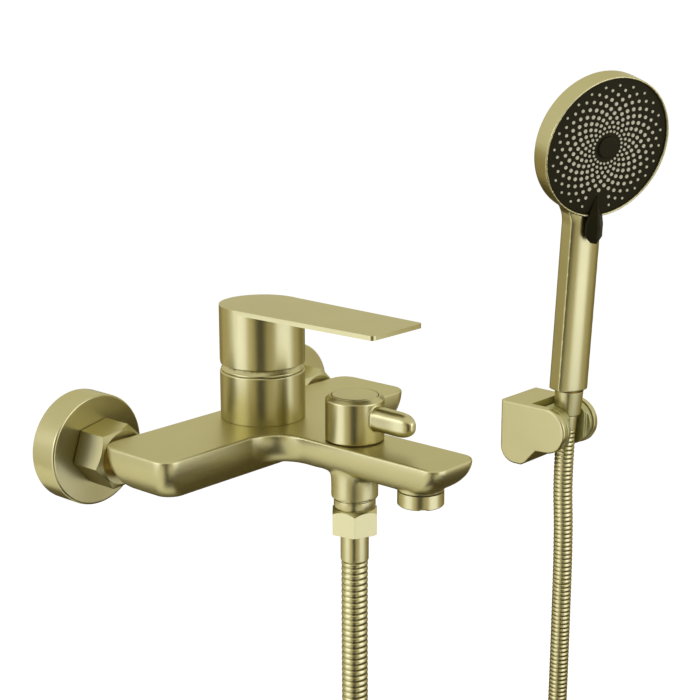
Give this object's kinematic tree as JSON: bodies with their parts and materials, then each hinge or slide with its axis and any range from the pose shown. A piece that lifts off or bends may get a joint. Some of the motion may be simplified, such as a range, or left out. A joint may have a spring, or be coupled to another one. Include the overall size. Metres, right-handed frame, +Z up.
{
  "type": "wall-mounted bath mixer with hand shower",
  "caption": "Wall-mounted single-lever bath mixer with spout, diverter, ribbed hose, hand shower and a tilting wall bracket that holds it.",
  "frame": {"origin": "midway between the two wall inlets, on the face of the wall", "axes": "+Z up, -Y away from the wall, +X to the right of a person facing the wall"},
  "size_m": [0.4817, 0.2114, 0.7859],
  "materials": {
    "brushed_gold": "satin brushed gold plating on brass",
    "gold_hose": "ribbed metal hose with satin gold plating",
    "brass": "turned brass, unplated",
    "steel": "stainless steel",
    "ceramic": "lapped alumina ceramic",
    "technical_plastic": "moulded acetal",
    "fibre": "red-brown fibre",
    "black_rubber": "moulded rubber",
    "gold_plastic": "satin brushed gold plating on moulded plastic",
    "dark_face": "black moulded plastic, satin",
    "nozzle_rubber": "pale silicone nozzles",
    "index_plastic": "dark moulded plug"
  },
  "bodies": {
    "root": {"escutcheon_left": "brushed_gold", "escutcheon_right": "brushed_gold", "s_union_left": "brass", "s_union_right": "brass", "union_nut_left": "brushed_gold", "union_nut_right": "brushed_gold", "union_washers": "fibre", "inlet_tail_left": "brass", "inlet_tail_right": "brass", "mixer_body": "brushed_gold", "cartridge_sleeve": "brushed_gold", "bonnet_ring": "brushed_gold", "retaining_nut": "brass", "cartridge_housing": "technical_plastic", "cartridge_base": "technical_plastic", "cartridge_seals": "black_rubber", "fixed_disc": "ceramic", "diverter_housing": "brass", "diverter_o_rings": "black_rubber", "diverter_nut": "brass", "aerator_housing": "brushed_gold", "aerator_insert": "technical_plastic", "aerator_washer": "black_rubber", "outlet_nipple": "brushed_gold", "hose_nut": "brushed_gold", "hose_washer_lower": "black_rubber", "ferrule_lower": "brushed_gold", "hose_lower": "gold_hose", "bracket_body": "gold_plastic", "wall_plate": "technical_plastic", "bracket_clamp_screw": "steel", "pivot_stubs": "steel", "friction_washers": "technical_plastic"},
    "lever_carrier": {"stem_carrier": "technical_plastic", "lever_pivot_pin": "steel"},
    "disc_slider": {"moving_disc": "ceramic"},
    "lever": {"cartridge_stem": "steel", "lever_handle": "brushed_gold", "handle_set_screw": "steel", "index_plug": "index_plastic"},
    "diverter": {"diverter_rotor": "brass", "diverter_knob": "brushed_gold", "diverter_screw": "steel", "diverter_cap": "brushed_gold"},
    "holder": {"cradle": "gold_plastic", "hose_upper": "gold_hose"},
    "hose_end": {"conical_nut": "brushed_gold", "hose_washer_upper": "black_rubber", "ferrule_upper": "brushed_gold"},
    "handset": {"handset_shell": "gold_plastic", "handset_inlet": "brass", "water_pipe": "technical_plastic", "chamber_plate": "technical_plastic"},
    "spray_face": {"spray_faceplate": "dark_face", "selector_lever": "dark_face", "nozzle_mat": "nozzle_rubber", "selector_disc": "technical_plastic", "face_screw": "steel", "face_cap": "dark_face"}
  },
  "joints": [
    {"name": "lever_turn", "type": "hinge", "parent": "root", "child": "lever_carrier", "pos_m": [0, -0.0654, 0.0355], "axis": [0, 0, 1], "range_deg": [-50, 50]},
    {"name": "lever_lift", "type": "hinge", "parent": "lever_carrier", "child": "lever", "pos_m": [0, -0.0654, 0.0355], "axis": [-1, 0, 0], "range_deg": [0, 22]},
    {"name": "disc_slide", "type": "slide", "parent": "lever_carrier", "child": "disc_slider", "axis": [0, -1, 0], "range_m": [0, 0.0032]},
    {"name": "diverter_turn", "type": "hinge", "parent": "root", "child": "diverter", "pos_m": [0, -0.1309, 0.0195], "axis": [0, 0, 1], "range_deg": [0, 90]},
    {"name": "holder_tilt", "type": "hinge", "parent": "root", "child": "holder", "pos_m": [0.3337, -0.038, -0.0665], "axis": [1, 0, 0], "range_deg": [-8, 10], "deforming": ["hose_lower", "hose_upper"]},
    {"name": "handset_lift", "type": "slide", "parent": "holder", "child": "hose_end", "axis": [0, -0.0497, 0.9988], "range_m": [0, 0.02]},
    {"name": "handset_turn", "type": "hinge", "parent": "hose_end", "child": "handset", "pos_m": [0.3337, -0.042, -0.0665], "axis": [0, -0.0497, 0.9988], "range_deg": [-60, 60]},
    {"name": "spray_selector", "type": "hinge", "parent": "handset", "child": "spray_face", "pos_m": [0.33194, -0.05684, 0.13962], "axis": [-0.3518, -0.9058, -0.2361], "range_deg": [-20, 20]}
  ],
  "couplings": [
    {"joint": "disc_slide", "follows": "lever_lift", "m_per_rad": 0.008}
  ]
}
